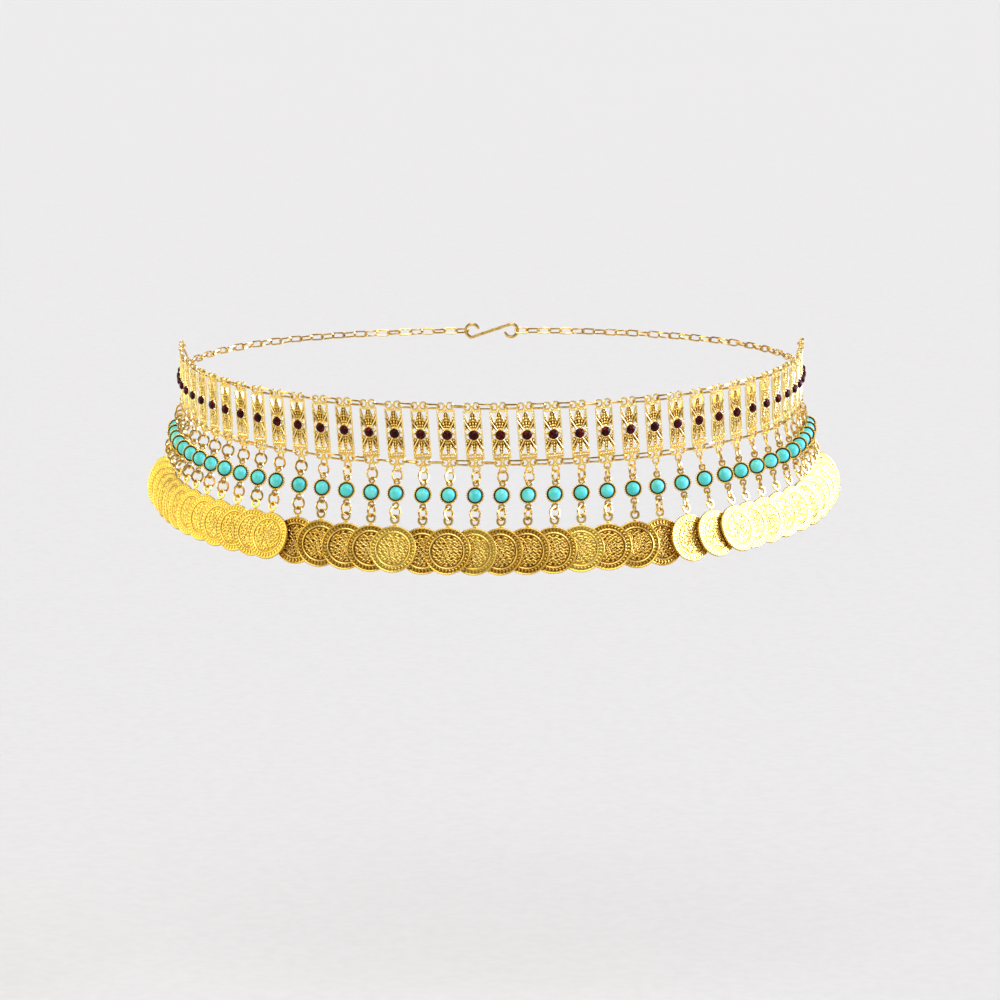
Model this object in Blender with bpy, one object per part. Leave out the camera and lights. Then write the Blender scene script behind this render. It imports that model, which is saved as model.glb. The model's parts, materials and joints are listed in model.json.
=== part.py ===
# Coin belt: a row of openwork plates on wire links, a pendant with a coin under each plate,
# and a chain with a hook round the back. Metres, +Z up, the front faces -Y.
# The origin is the middle of the waist, halfway up the plates.
import math

import bmesh
import bpy
import numpy as np
from mathutils import Matrix, Vector

MM = 0.001
GAP = 0.3 * MM

# The ring that the plates follow round the waist, seen from above
HALF_WIDTH = 136.6 * MM
FRONT_DEPTH = 134.6 * MM
BACK_DEPTH = 95.0 * MM
ROUNDNESS = 2.2
FRONT_DROP = math.radians(4.5)
RIGHT_RISE = math.radians(0.3)
FRONT_SAG = 2.0 * MM
RING_SAMPLES = 8001
TANGENT_STEP = 0.5 * MM

# The row of plates
PLATE_COUNT = 40
PLATE_PITCH = 11.0 * MM
MIDDLE_PLACE = 19.64
PLATES_IN_SECTION = 4
PLATE_LEAN = math.radians(4.0)

# One plate: half width of its frame, its thickness, and the eyes at its corners
PLATE_HALF_WIDTH = 3.85 * MM
PLATE_THICKNESS = 1.1 * MM
EYE_SPREAD = 1.8 * MM
EYE_RISE = 11.9 * MM
EYE_RADIUS = 1.9 * MM
EYE_SHOULDER = 0.9 * MM
EYE_FLANK = 1.7 * MM
LINK_HALF_HEIGHT = 0.75 * MM
LINK_STANDOFF = PLATE_THICKNESS + GAP

# The third eye, under the middle of the plate, which a pendant hangs in
PENDANT_EYE_DROP = 14.85 * MM
PENDANT_EYE_NECK = 0.3 * MM
PENDANT_EYE_HALF = 1.2 * MM
EYE_HOLE = 1.4 * MM
EYE_HOLE_SIDES = 8

# The openings on both sides of the spikes over and under the stone: a flat side far from the stone,
# from inner to outer, and a tip near it
FAN_OPENINGS = [
    dict(way=1, inner=1.0 * MM, outer=3.1 * MM, far=9.3 * MM, tip=2.0 * MM, near=5.6 * MM),
    dict(way=-1, inner=0.5 * MM, outer=2.7 * MM, far=8.2 * MM, tip=1.1 * MM, near=4.7 * MM),
]

# The pendant, measured down from the eye that it hangs on. A bezel turns back by a share of its coin's
# heading and then to the left by a fixed turn.
RING_RADIUS = 2.85 * MM
RING_WIRE = 0.32 * MM
RING_DROP = 2.4 * MM
RING_SIDES = 6
RING_WIRE_SIDES = 4
BEZEL_DROP = 10.7 * MM
BEZEL_RADIUS = 3.6 * MM
BEZEL_SIDES = 8
BEZEL_TURN = math.radians(-12.0)
BEZEL_RETURN_SHARE = 0.8
COIN_DROP = 34.0 * MM
COIN_RADIUS = 10.0 * MM
COIN_THICKNESS = 1.0 * MM
COIN_SIDES = 14
COIN_NECK = 1.5 * MM

# The bezel's outline: shares of its radius, and how far out from its middle
BEZEL_RINGS = [
    dict(share=0.9, out=-1.0 * MM),
    dict(share=1.0, out=1.1 * MM),
    dict(share=0.5, out=2.5 * MM),
]

# Half widths of the eyes and rings between the plate and the coin, from the top down
NECKS = [
    dict(drop=4.8 * MM, half=1.3 * MM),
    dict(drop=6.1 * MM, half=1.5 * MM),
    dict(drop=15.5 * MM, half=1.4 * MM),
    dict(drop=18.2 * MM, half=2.3 * MM),
    dict(drop=20.3 * MM, half=1.2 * MM),
    dict(drop=21.9 * MM, half=2.0 * MM),
]

# How far a pendant leans out at the front and at both ends of the row
LEAN_FRONT = math.radians(11.0)
LEAN_LEFT = math.radians(15.0)
LEAN_RIGHT = math.radians(24.0)

# Runs of coins that overlap the same way: first and last plate, turn and extra lean in degrees.
# A positive turn brings the left edge of a coin out, over the coin on its left.
COIN_RUNS = [
    dict(first=1, last=1, turn=34.0, out=5.0),
    dict(first=2, last=2, turn=34.0, out=4.0),
    dict(first=3, last=3, turn=26.0, out=1.0),
    dict(first=4, last=4, turn=17.0, out=0.0),
    dict(first=5, last=7, turn=13.2, out=-0.7),
    dict(first=8, last=9, turn=14.6, out=-0.6),
    dict(first=10, last=10, turn=13.4, out=-1.1),
    dict(first=11, last=11, turn=10.3, out=-1.3),
    dict(first=12, last=12, turn=4.0, out=3.3),
    dict(first=13, last=13, turn=7.6, out=-2.8),
    dict(first=14, last=14, turn=12.0, out=-0.8),
    dict(first=15, last=15, turn=13.4, out=-0.5),
    dict(first=16, last=16, turn=10.3, out=-1.0),
    dict(first=17, last=17, turn=1.6, out=3.7),
    dict(first=18, last=18, turn=2.0, out=-1.6),
    dict(first=19, last=19, turn=-3.0, out=2.3),
    dict(first=20, last=20, turn=-8.8, out=-1.3),
    dict(first=21, last=21, turn=-11.7, out=-0.6),
    dict(first=22, last=22, turn=-13.4, out=-0.1),
    dict(first=23, last=23, turn=-14.5, out=0.5),
    dict(first=24, last=24, turn=-14.8, out=1.2),
    dict(first=25, last=25, turn=-13.7, out=1.2),
    dict(first=26, last=26, turn=-9.5, out=-0.2),
    dict(first=27, last=27, turn=-1.4, out=-4.6),
    dict(first=28, last=28, turn=3.8, out=-0.5),
    dict(first=29, last=29, turn=3.9, out=1.6),
    dict(first=30, last=30, turn=1.7, out=3.0),
    dict(first=31, last=31, turn=-8.6, out=-1.4),
    dict(first=32, last=32, turn=-13.3, out=-1.5),
    dict(first=33, last=33, turn=-15.7, out=-1.1),
    dict(first=34, last=34, turn=-16.3, out=-0.7),
    dict(first=35, last=35, turn=-16.0, out=-0.4),
    dict(first=36, last=36, turn=-26.0, out=0.0),
    dict(first=37, last=40, turn=-34.0, out=0.0),
]

# The back: a bail of bent wire at each end of the row, the chain and the hook
BAIL_REACH = 18.0 * MM
BAIL_SHOULDER = 1.5 * MM
BAIL_HALF_EYE = 1.6 * MM
BAIL_WIRE = 0.6 * MM
CHAIN_RADIUS = 1.9 * MM
CHAIN_STEPS = 16
HOOK_HALF_LENGTH = 12.0 * MM
HOOK_WIRE = 0.8 * MM
HOOK_BEND = 3.0 * MM
HOOK_BEND_START = math.radians(-90.0)
HOOK_BEND_END = math.radians(150.0)
HOOK_BEND_POINTS = 6

GOLD = dict(color=(0.83, 0.60, 0.18, 1.0), metallic=1.0, roughness=0.28)
WIRE_GOLD = dict(color=(0.90, 0.68, 0.34, 1.0), metallic=1.0, roughness=0.22)


def clear_scene():
    for thing in list(bpy.data.objects):
        bpy.data.objects.remove(thing, do_unlink=True)


def make_material(name, color, metallic, roughness):
    material = bpy.data.materials.new(name)
    material.use_nodes = True
    shader = material.node_tree.nodes["Principled BSDF"]
    shader.inputs["Base Color"].default_value = color
    shader.inputs["Metallic"].default_value = metallic
    shader.inputs["Roughness"].default_value = roughness
    return material


def add_object(name, mesh, finish):
    thing = bpy.data.objects.new(name, mesh)
    bpy.context.collection.objects.link(thing)
    if not mesh.materials:
        mesh.materials.append(make_material(name + "_finish", **finish))
    return thing


# A point of the ring at an angle from the front, where 0 is the front and 90 degrees the right side
def ring_point(angle):
    sine, cosine = np.sin(angle), np.cos(angle)
    power = 2.0 / ROUNDNESS
    depth = np.where(cosine > 0.0, FRONT_DEPTH, BACK_DEPTH)
    x = HALF_WIDTH * np.sign(sine) * np.abs(sine) ** power
    y = -depth * np.sign(cosine) * np.abs(cosine) ** power
    z = -FRONT_SAG * np.maximum(cosine, 0.0) ** 2
    return np.stack([x, y, z], axis=-1)


ANGLES = np.linspace(-math.pi, math.pi, RING_SAMPLES)
RING = ring_point(ANGLES)
LENGTHS = np.concatenate([[0.0], np.cumsum(np.linalg.norm(np.diff(RING, axis=0), axis=1))])
LENGTHS -= np.interp(0.0, ANGLES, LENGTHS)
TILT = Matrix.Rotation(FRONT_DROP, 3, "X") @ Matrix.Rotation(-RIGHT_RISE, 3, "Y")


# Place, direction to the right, direction out and direction up at a length along the ring
def ring_frame(length):
    stops = np.array([length - TANGENT_STEP, length, length + TANGENT_STEP])
    around = LENGTHS[-1] - LENGTHS[0]
    x, y, z = (np.interp(stops, LENGTHS, RING[:, axis], period=around) for axis in (0, 1, 2))
    right = Vector((x[2] - x[0], y[2] - y[0], 0.0)).normalized()
    out = right.cross(Vector((0.0, 0.0, 1.0)))
    return TILT @ Vector((x[1], y[1], z[1])), TILT @ right, TILT @ out, TILT @ Vector((0.0, 0.0, 1.0))


def plate_length(place):
    return (place - MIDDLE_PLACE) * PLATE_PITCH


# A point of a plate's own frame: x to the right, out from the waist, z up
def plate_point(place, x, out, z):
    centre, right, outward, up = ring_frame(plate_length(place))
    leaned_right = right * math.cos(PLATE_LEAN) + up * math.sin(PLATE_LEAN)
    leaned_up = up * math.cos(PLATE_LEAN) - right * math.sin(PLATE_LEAN)
    return centre + leaned_right * x + outward * out + leaned_up * z


# Contour over the two top eyes of a plate, from its left side to its right
def eye_contour():
    low, high = EYE_RISE + LINK_HALF_HEIGHT, EYE_RISE + EYE_RADIUS
    half = [
        (EYE_SPREAD + EYE_FLANK, low),
        (EYE_SPREAD + EYE_SHOULDER, high),
        (EYE_SPREAD - EYE_SHOULDER, high),
        (0.0, EYE_RISE + EYE_SHOULDER),
    ]
    return [(-x, z) for x, z in half] + half[-2::-1]


# Contour round the third eye, from its right side to its left
def pendant_eye_contour():
    neck = (EYE_SPREAD, PENDANT_EYE_NECK - PENDANT_EYE_DROP)
    foot = (PENDANT_EYE_HALF, -PENDANT_EYE_DROP - EYE_RADIUS)
    return [neck, foot] + [(-x, z) for x, z in (foot, neck)]


def pendant_eye_hole():
    turns = np.arange(EYE_HOLE_SIDES) * 2.0 * math.pi / EYE_HOLE_SIDES
    return [(EYE_HOLE * math.cos(a), EYE_HOLE * math.sin(a) - PENDANT_EYE_DROP) for a in turns]


# The four openings of a plate, as triangles
def fan_openings():
    loops = []
    for fan in FAN_OPENINGS:
        shape = [(fan["inner"], fan["far"]), (fan["outer"], fan["far"]), (fan["tip"], fan["near"])]
        loops += [[(side * x, fan["way"] * z) for x, z in shape] for side in (1, -1)]
    return loops


# Outline and openings of a section of plates; a point is (place, x, z, standoff)
def section_loops(first, count, linked):
    last = first + count - 1
    flat = 0.0
    link_low, link_high = EYE_RISE - LINK_HALF_HEIGHT, EYE_RISE + LINK_HALF_HEIGHT
    top, bottom, holes = [], [], []
    for place in range(first, last + 1):
        top += [(place, x, z, flat) for x, z in eye_contour()]
        under = [(x, -z) for x, z in reversed(eye_contour()) if abs(x) > EYE_SPREAD]
        under[2:2] = pendant_eye_contour()
        bottom = [(place, x, z, flat) for x, z in under] + bottom
        holes.append([(place, x, z, flat) for x, z in pendant_eye_hole()])
        holes += [[(place, x, z, flat) for x, z in loop] for loop in fan_openings()]
        if place < last:
            corners = [(place, 1, 1), (place + 1, -1, 1), (place + 1, -1, -1), (place, 1, -1)]
            holes.append([(at, sx * PLATE_HALF_WIDTH, sz * link_low, flat) for at, sx, sz in corners])
    right_side = [(last, PLATE_HALF_WIDTH, link_low, flat), (last, PLATE_HALF_WIDTH, -link_low, flat)]
    if linked:
        near, end = -EYE_SPREAD - EYE_RADIUS - GAP, -EYE_SPREAD
        over = [(last + 1, near, link_high), (last + 1, end, link_high),
                (last + 1, end, link_low), (last + 1, near, link_low)]
        upper = [(at, x, z, LINK_STANDOFF) for at, x, z in over]
        lower = [(at, x, -z, LINK_STANDOFF) for at, x, z in reversed(over)]
        right_side = upper + right_side + lower
    left_side = [(first, -PLATE_HALF_WIDTH, -link_low, flat), (first, -PLATE_HALF_WIDTH, link_low, flat)]
    return [top + right_side + bottom + left_side] + holes


# A flat sheet of metal cut to loops, given its thickness and laid along the ring
def band_section(name, first, count, linked):
    mesh_data = bmesh.new()
    place_layer = mesh_data.verts.layers.int.new("place")
    standoff_layer = mesh_data.verts.layers.float.new("standoff")
    edges = []
    for loop in section_loops(first, count, linked):
        points = []
        for place, x, z, standoff in loop:
            point = mesh_data.verts.new((place * PLATE_PITCH + x, 0.0, z))
            point[place_layer] = place
            point[standoff_layer] = standoff
            points.append(point)
        edges += [mesh_data.edges.new((a, b)) for a, b in zip(points, points[1:] + points[:1])]
    bmesh.ops.triangle_fill(mesh_data, use_beauty=True, use_dissolve=False, edges=edges)
    back = bmesh.ops.extrude_face_region(mesh_data, geom=mesh_data.faces[:])["geom"]
    moved = [item for item in back if isinstance(item, bmesh.types.BMVert)]
    bmesh.ops.translate(mesh_data, verts=moved, vec=(0.0, PLATE_THICKNESS, 0.0))
    for point in mesh_data.verts:
        place = point[place_layer]
        out = PLATE_THICKNESS / 2 - point.co.y + point[standoff_layer]
        point.co = plate_point(place, point.co.x - place * PLATE_PITCH, out, point.co.z)
    bmesh.ops.recalc_face_normals(mesh_data, faces=mesh_data.faces)
    mesh = bpy.data.meshes.new(name)
    mesh_data.to_mesh(mesh)
    mesh_data.free()
    add_object(name, mesh, GOLD)


# A flat closed piece from an outline in x and z, as thick as given along y
def flat_piece(name, outline, thickness):
    mesh_data = bmesh.new()
    points = [mesh_data.verts.new((x, -thickness / 2, z)) for x, z in outline]
    face = mesh_data.faces.new(points)
    moved = bmesh.ops.extrude_face_region(mesh_data, geom=[face])["geom"]
    moved = [item for item in moved if isinstance(item, bmesh.types.BMVert)]
    bmesh.ops.translate(mesh_data, verts=moved, vec=(0.0, thickness, 0.0))
    bmesh.ops.recalc_face_normals(mesh_data, faces=mesh_data.faces)
    mesh = bpy.data.meshes.new(name)
    mesh_data.to_mesh(mesh)
    mesh_data.free()
    return add_object(name, mesh, GOLD)


# The necks of the pendant and its coin in one outline, right half first
def coin_outline():
    opening = math.asin(COIN_NECK / COIN_RADIUS)
    turns = np.linspace(opening, 2.0 * math.pi - opening, COIN_SIDES)
    rim = [(COIN_RADIUS * math.sin(a), COIN_RADIUS * math.cos(a) - COIN_DROP) for a in turns]
    right = [(neck["half"], -neck["drop"]) for neck in NECKS]
    left = [(-x, z) for x, z in reversed(right)]
    return right + rim + left


# A dish with a domed stone, turned about the axis that it faces along and then about the vertical
def bezel(name, turn):
    turns = np.arange(BEZEL_SIDES) * 2.0 * math.pi / BEZEL_SIDES
    mesh_data = bmesh.new()
    loops = []
    for ring in BEZEL_RINGS:
        radius = BEZEL_RADIUS * ring["share"]
        points = [(radius * math.cos(a), -ring["out"], radius * math.sin(a)) for a in turns]
        loops.append([mesh_data.verts.new(point) for point in points])
    mesh_data.faces.new(loops[0])
    mesh_data.faces.new(loops[-1])
    for lower, upper in zip(loops, loops[1:]):
        for k in range(BEZEL_SIDES):
            n = (k + 1) % BEZEL_SIDES
            mesh_data.faces.new((lower[k], lower[n], upper[n], upper[k]))
    bmesh.ops.recalc_face_normals(mesh_data, faces=mesh_data.faces)
    mesh_data.transform(Matrix.Translation((0.0, 0.0, -BEZEL_DROP)) @ Matrix.Rotation(turn, 4, "Z"))
    mesh = bpy.data.meshes.new(name)
    mesh_data.to_mesh(mesh)
    mesh_data.free()
    return add_object(name, mesh, GOLD)


# The wire ring through the eye of the plate, in the plane across the coin
def jump_ring(name):
    bpy.ops.mesh.primitive_torus_add(
        major_segments=RING_SIDES, minor_segments=RING_WIRE_SIDES,
        major_radius=RING_RADIUS, minor_radius=RING_WIRE,
        location=(0.0, 0.0, -RING_DROP), rotation=(math.pi / 2, math.pi / RING_SIDES, math.pi / 2))
    ring = bpy.context.object
    ring.name = name
    return ring


# One pendant, fused from its pieces, with its origin in the eye that it hangs on
def pendant_mesh(turn):
    body = flat_piece("pendant_body", coin_outline(), COIN_THICKNESS)
    tools = [bezel("pendant_bezel", turn), jump_ring("pendant_ring")]
    for tool in tools:
        union = body.modifiers.new("union", "BOOLEAN")
        union.operation = "UNION"
        union.object = tool
    depsgraph = bpy.context.evaluated_depsgraph_get()
    mesh = bpy.data.meshes.new_from_object(body.evaluated_get(depsgraph))
    for thing in [body] + tools:
        bpy.data.objects.remove(thing, do_unlink=True)
    mesh.name = "pendant"
    return mesh


# Turn of a pendant: its x to the coin's right, its y in, its z up along the pendant
def pendant_turn(place, turn, out):
    length = plate_length(place)
    end_lean = LEAN_LEFT if length < 0.0 else LEAN_RIGHT
    share = 2.0 * abs(length) / (PLATE_COUNT * PLATE_PITCH)
    lean = LEAN_FRONT + (end_lean - LEAN_FRONT) * share + math.radians(out)
    outward = ring_frame(length)[2]
    heading = Vector((outward.x, outward.y, 0.0)).normalized()
    heading.rotate(Matrix.Rotation(math.radians(turn), 3, "Z"))
    facing = heading * math.cos(lean) + Vector((0.0, 0.0, math.sin(lean)))
    right = Vector((0.0, 0.0, 1.0)).cross(heading)
    return Matrix((right, -facing, facing.cross(right))).transposed().to_4x4()


# A bezel swings about its eyes, back from where its coin faces towards the front of the belt
def bezel_turn(axes):
    heading = math.atan2(-axes[0][1], axes[1][1])
    return BEZEL_TURN - BEZEL_RETURN_SHARE * heading


def add_pendants():
    for run in COIN_RUNS:
        for number in range(run["first"], run["last"] + 1):
            place = number - 1
            axes = pendant_turn(place, run["turn"], run["out"])
            pendant = add_object(f"pendant_{number:02d}", pendant_mesh(bezel_turn(axes)), GOLD)
            eye = plate_point(place, 0.0, 0.0, -PENDANT_EYE_DROP)
            pendant.matrix_world = Matrix.Translation(eye) @ axes


# A wire through a list of points, with flat ends
def wire(name, points, radius, finish):
    curve = bpy.data.curves.new(name, "CURVE")
    curve.dimensions = "3D"
    curve.bevel_depth = radius
    curve.bevel_resolution = 1
    curve.use_fill_caps = True
    spline = curve.splines.new("POLY")
    spline.points.add(len(points) - 1)
    for target, point in zip(spline.points, points):
        target.co = (*point, 1.0)
    thing = bpy.data.objects.new(name, curve)
    bpy.context.collection.objects.link(thing)
    curve.materials.append(make_material(name + "_finish", **finish))


def ring_place(length, rise=0.0):
    centre, right, outward, up = ring_frame(length)
    return centre + up * rise


# A bent wire from the outer eyes of the end plate to a small eye for the chain
def add_bail(name, place, side):
    start, past = side * EYE_SPREAD, side * (PLATE_HALF_WIDTH + BAIL_SHOULDER)
    upper = [plate_point(place, x, LINK_STANDOFF, EYE_RISE) for x in (start, past)]
    lower = [plate_point(place, x, LINK_STANDOFF, -EYE_RISE) for x in (past, start)]
    apex = plate_length(place) + side * BAIL_REACH
    nose = [ring_place(apex, BAIL_HALF_EYE), ring_place(apex, -BAIL_HALF_EYE)]
    wire(name, upper + nose + lower, BAIL_WIRE, WIRE_GOLD)


# A length of chain from the bail round the back to the hook, as a tube of the chain's size
def add_chain(name, place, side):
    start = plate_length(place) + side * (BAIL_REACH + BAIL_WIRE + GAP)
    end = side * (LENGTHS[-1] - HOOK_HALF_LENGTH - HOOK_WIRE - GAP)
    points = [ring_place(length) for length in np.linspace(start, end, CHAIN_STEPS)]
    wire(name, points, CHAIN_RADIUS, WIRE_GOLD)


# An S of wire at the middle of the back, flat against the waist
def add_hook():
    turns = np.linspace(HOOK_BEND_START, HOOK_BEND_END, HOOK_BEND_POINTS)
    middle = HOOK_HALF_LENGTH - HOOK_BEND
    loop = [(middle + HOOK_BEND * math.cos(a), HOOK_BEND * math.sin(a)) for a in turns]
    route = [(-x, -z) for x, z in reversed(loop)] + [(0.0, 0.0)] + loop
    centre, right, outward, up = ring_frame(LENGTHS[-1])
    wire("hook", [centre + right * x + up * z for x, z in route], HOOK_WIRE, WIRE_GOLD)


def build():
    clear_scene()
    for number, first in enumerate(range(0, PLATE_COUNT, PLATES_IN_SECTION), start=1):
        linked = first + PLATES_IN_SECTION < PLATE_COUNT
        band_section(f"plates_{number:02d}", first, PLATES_IN_SECTION, linked)
    add_pendants()
    for name, place, side in (("left", 0, -1), ("right", PLATE_COUNT - 1, 1)):
        add_bail(f"bail_{name}", place, side)
        add_chain(f"chain_{name}", place, side)
    add_hook()


build()
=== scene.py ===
import json
import math

import bpy
import numpy as np
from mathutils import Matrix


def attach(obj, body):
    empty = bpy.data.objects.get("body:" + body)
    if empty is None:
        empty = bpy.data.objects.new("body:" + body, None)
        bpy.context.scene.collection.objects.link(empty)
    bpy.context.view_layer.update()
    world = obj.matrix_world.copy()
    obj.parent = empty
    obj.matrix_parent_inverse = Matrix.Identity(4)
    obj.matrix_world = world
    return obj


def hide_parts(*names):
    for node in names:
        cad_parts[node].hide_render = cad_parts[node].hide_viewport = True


# Coin belt: openwork plates on wire links, a pendant with a coin under each, chain and hook behind.
# Sizes are in mm unless a note says otherwise. Local axes: x right, y in towards the waist, z up.
mm = 0.001
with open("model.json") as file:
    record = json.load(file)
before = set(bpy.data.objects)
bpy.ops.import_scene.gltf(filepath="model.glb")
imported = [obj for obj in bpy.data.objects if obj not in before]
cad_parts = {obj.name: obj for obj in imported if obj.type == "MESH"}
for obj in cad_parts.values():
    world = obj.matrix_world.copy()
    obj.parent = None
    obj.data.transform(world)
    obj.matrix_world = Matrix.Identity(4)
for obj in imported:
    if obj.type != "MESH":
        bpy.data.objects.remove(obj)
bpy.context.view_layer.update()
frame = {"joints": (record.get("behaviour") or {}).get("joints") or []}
draw = np.random.default_rng(40)

# The ring that the belt follows round the waist; drop and rise are in degrees
waist = dict(
    halfWidth=136.6, frontDepth=134.6, backDepth=95.0, roundness=2.2,
    frontDrop=4.5, rightRise=0.3, frontSag=2.0,
)


# Rows are the axes after a turn about x: (1, 0, 0), (0, c, s), (0, -s, c)
def turnAboutX(degrees):
    c, s = math.cos(math.radians(degrees)), math.sin(math.radians(degrees))
    return np.array([[1, 0, 0], [0, c, s], [0, -s, c]])


# The same about y: (c, 0, -s), (0, 1, 0), (s, 0, c)
def turnAboutY(degrees):
    c, s = math.cos(math.radians(degrees)), math.sin(math.radians(degrees))
    return np.array([[c, 0, -s], [0, 1, 0], [s, 0, c]])


# The same about z: (c, s, 0), (-s, c, 0), (0, 0, 1)
def turnAboutZ(degrees):
    c, s = math.cos(math.radians(degrees)), math.sin(math.radians(degrees))
    return np.array([[c, s, 0], [-s, c, 0], [0, 0, 1]])


# Superellipse: x = a sgn(sin)|sin|^(2/n), y = -b sgn(cos)|cos|^(2/n), z = -sag max(cos, 0)^2
def ringPoint(angle):
    sine, cosine = np.sin(angle), np.cos(angle)
    power = 2.0 / waist["roundness"]
    depth = np.where(cosine > 0, waist["frontDepth"], waist["backDepth"])
    x = waist["halfWidth"] * np.sign(sine) * np.abs(sine) ** power
    y = -depth * np.sign(cosine) * np.abs(cosine) ** power
    return np.stack([x, y, -waist["frontSag"] * np.maximum(cosine, 0) ** 2], -1)


ringAngles = np.linspace(-np.pi, np.pi, 8001)
ringPoints = ringPoint(ringAngles)
ringLengths = np.append(0, np.cumsum(np.linalg.norm(np.diff(ringPoints, axis=0), axis=1)))
ringLengths -= np.interp(0, ringAngles, ringLengths)
ringTilt = turnAboutY(-waist["rightRise"]) @ turnAboutX(waist["frontDrop"])


# Centre and axes (right, in, up) at lengths along the ring, 0 at the front, from points 0.5 mm either side
def ringFrame(lengths):
    stops = np.asarray(lengths, float)[..., None] + np.array([-0.5, 0, 0.5])
    around = ringLengths[-1] - ringLengths[0]
    xyz = np.stack([np.interp(stops, ringLengths, ringPoints[:, k], period=around) for k in range(3)], -1)
    right = xyz[..., 2, :] - xyz[..., 0, :]
    right[..., 2] = 0
    right /= np.linalg.norm(right, axis=-1, keepdims=True)
    up = np.broadcast_to([0.0, 0.0, 1.0], right.shape)
    axes = np.stack([right, np.cross(up, right), up], -2)
    return xyz[..., 1, :] @ ringTilt, axes @ ringTilt


row = dict(count=40, pitch=11.0, middlePlace=19.64, lean=4.0, inSection=4)


# A plate's centre and axes: the ring's at (place - middle) pitch, turned in its plane by its lean
def plateFrame(place):
    centre, axes = ringFrame((place - row["middlePlace"]) * row["pitch"])
    return centre, turnAboutY(-row["lean"]) @ axes


# A surface is a dictionary of points, quads, triangles and a tone from 0 in a hollow to 1 on a high place;
# on the gilt the tone sets painted shade and painted highlight

# Grid of points to quads; a closed way joins its end to its start, a pole closes an end with triangles
def gridSurface(points, poles=(None, None), closedRows=False, tone=None):
    rows, cols = points.shape[:2]
    index = np.arange(rows * cols).reshape(rows, cols)
    near = index if closedRows else index[:-1]
    far = np.roll(index, -1, 0) if closedRows else index[1:]
    quads = np.stack([near, np.roll(near, -1, 1), np.roll(far, -1, 1), far], -1).reshape(-1, 4)
    points = points.reshape(-1, 3)
    tone = np.full(rows * cols, 0.8) if tone is None else tone.reshape(-1)
    fans = []
    for pole, edge in ((poles[0], index[0][::-1]), (poles[1], index[-1])):
        if pole is not None:
            tip = np.full(cols, len(points))
            fans.append(np.stack([tip, edge, np.roll(edge, -1)], -1))
            points = np.vstack([points, pole])
            tone = np.append(tone, tone[edge].mean())
    triangles = np.vstack(fans) if fans else np.zeros((0, 3), int)
    return facingOut(dict(points=points, quads=quads, triangles=triangles, tone=tone))


# Turns a closed surface's faces outwards: the sum of p0 . (p1 x p2) over its triangles is then positive
def facingOut(surface):
    quads = surface["quads"]
    corners = np.vstack([surface["triangles"], quads[:, [0, 1, 2]], quads[:, [0, 2, 3]]])
    p = surface["points"][corners]
    if np.einsum("ij,ij->", p[:, 0], np.cross(p[:, 1], p[:, 2])) < 0:
        surface["quads"], surface["triangles"] = quads[:, ::-1], surface["triangles"][:, ::-1]
    return surface


# p -> place + turn of (scale p), with the turn's rows as the new axes
def moved(surface, place=(0, 0, 0), axes=None, scale=1.0):
    points = surface["points"] * scale
    points = points if axes is None else points @ axes
    return dict(surface, points=points + np.asarray(place, float))


# Points end to end, the faces' numbers raised by the points before them
def joined(surfaces):
    starts = np.cumsum([0] + [len(s["points"]) for s in surfaces[:-1]])
    whole = {key: np.concatenate([s[key] for s in surfaces]) for key in ("points", "tone")}
    for key in ("quads", "triangles"):
        whole[key] = np.concatenate([s[key] + start for s, start in zip(surfaces, starts)])
    return whole


# Closed ring of wire round y: centre line (r cos u + stretch sgn(cos u), 0, r sin u), tube of radius w.
# The tone falls by the given share of (1 - cos v) towards the inside: painted shade in the ring's hole
def wireRing(radius, wire, around=12, across=5, stretch=0.0, tone=0.85, insideShade=0.3):
    u = (np.arange(around) + 0.5)[:, None] * 2 * np.pi / around
    v = np.arange(across)[None, :] * 2 * np.pi / across
    x = (radius + wire * np.cos(v)) * np.cos(u) + stretch * np.sign(np.cos(u))
    z = (radius + wire * np.cos(v)) * np.sin(u)
    y = wire * np.sin(v) + 0 * u
    # painted shade, darker towards the inside of the ring
    shade = tone * (1 - insideShade * (1 - np.cos(v))) + 0 * u
    return gridSurface(np.stack([x, y, z], -1), closedRows=True, tone=shade)


# Catmull-Rom curve through points a b c d: between b and c it is half of
# 2b + (c - a) t + (2a - 5b + 4c - d) t^2 + (3b - a - 3c + d) t^3
def smoothPath(points, count):
    p = np.asarray(points, float)
    p = np.vstack([2 * p[0] - p[1], p, 2 * p[-1] - p[-2]])
    at = np.linspace(0, len(p) - 3 - 1e-6, count)
    k = at.astype(int)
    t = (at - k)[:, None]
    a, b, c, d = p[k], p[k + 1], p[k + 2], p[k + 3]
    squared = (2 * a - 5 * b + 4 * c - d) * t ** 2
    cubed = (3 * b - a - 3 * c + d) * t ** 3
    return 0.5 * (2 * b + (c - a) * t + squared + cubed)


# Tube along a path: path + r (cos v side + sin v front), with one radius or a list, and ends 0.6 r proud
def wireAlong(path, radius, across=6, face=(0, 1, 0), tone=0.8):
    along = np.gradient(path, axis=0)
    along /= np.linalg.norm(along, axis=1, keepdims=True)
    side = np.cross(along, np.broadcast_to(np.asarray(face, float), along.shape))
    side /= np.linalg.norm(side, axis=1, keepdims=True)
    front = np.cross(side, along)
    v = np.arange(across) * 2 * np.pi / across
    r = np.broadcast_to(np.asarray(radius, float), (len(path),))[:, None, None]
    tube = path[:, None] + r * (np.cos(v)[:, None] * side[:, None] + np.sin(v)[:, None] * front[:, None])
    ends = (path[0] - along[0] * r[0, 0] * 0.6, path[-1] + along[-1] * r[-1, 0] * 0.6)
    return gridSurface(tube, ends, tone=np.full((len(path), across), tone))


# Straight bar from one point to another
def wireBar(start, end, radius, tone=0.8):
    return wireAlong(np.linspace(start, end, 5), radius, tone=tone)
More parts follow.
